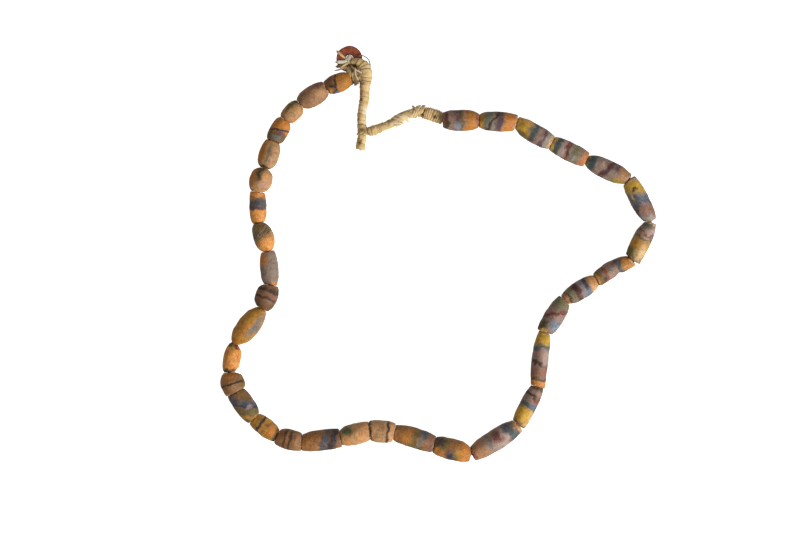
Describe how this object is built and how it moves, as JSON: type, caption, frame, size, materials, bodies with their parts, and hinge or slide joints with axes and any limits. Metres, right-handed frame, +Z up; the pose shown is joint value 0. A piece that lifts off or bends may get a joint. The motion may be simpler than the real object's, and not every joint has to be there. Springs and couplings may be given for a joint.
{
  "type": "beaded necklace",
  "caption": "Closed strand of handmade powder-glass barrel beads on raffia, lying flat, with two short wrapped cords and a flat button bead lashed beside them.",
  "frame": {"origin": "on the surface that the strand lies on, below the middle of its bounding box", "axes": "+Z up from the surface, +Y towards the button, +X towards the strand's long right side"},
  "size_m": [0.2162, 0.2072, 0.0117],
  "materials": {
    "powder_glass_amber": "matt fused powder glass, pitted, amber and orange",
    "powder_glass_mauve": "matt fused powder glass, pitted, mauve brown",
    "powder_glass_grey": "matt fused powder glass, pitted, grey with bands",
    "powder_glass_yellow": "matt fused powder glass, pitted, yellow",
    "powder_glass_olive": "matt fused powder glass, pitted, olive",
    "raffia": "wound palm fibre, pale straw",
    "dark_raffia": "wound palm fibre, shaded straw",
    "button_clay": "smooth fired clay, red brown"
  },
  "bodies": {
    "root": {"bead_01": "powder_glass_amber", "bead_02": "powder_glass_mauve", "bead_03": "powder_glass_amber", "bead_04": "powder_glass_amber", "bead_05": "powder_glass_amber", "bead_06": "powder_glass_amber", "bead_07": "powder_glass_amber", "bead_08": "powder_glass_olive", "bead_09": "powder_glass_amber", "bead_10": "powder_glass_mauve", "bead_11": "powder_glass_amber", "bead_12": "powder_glass_amber", "bead_13": "powder_glass_mauve", "bead_14": "powder_glass_mauve", "bead_15": "powder_glass_amber", "bead_16": "powder_glass_mauve", "bead_17": "powder_glass_amber", "bead_18": "powder_glass_amber", "bead_19": "powder_glass_mauve", "bead_20": "powder_glass_amber", "bead_21": "powder_glass_amber", "bead_22": "powder_glass_grey", "bead_23": "powder_glass_yellow", "bead_24": "powder_glass_grey", "bead_25": "powder_glass_grey", "bead_26": "powder_glass_grey", "bead_27": "powder_glass_grey", "bead_28": "powder_glass_yellow", "bead_29": "powder_glass_yellow", "bead_30": "powder_glass_grey", "bead_31": "powder_glass_grey", "bead_32": "powder_glass_yellow", "bead_33": "powder_glass_olive", "bead_34": "powder_glass_grey", "thread": "raffia", "button_bead": "button_clay", "button_knot": "raffia", "lashing": "dark_raffia", "left_wrapped_cord": "raffia", "right_wrapped_cord": "raffia", "junction_collar": "raffia", "coil_knot": "dark_raffia", "crossing_knot": "dark_raffia", "end_whipping": "raffia"}
  },
  "joints": []
}
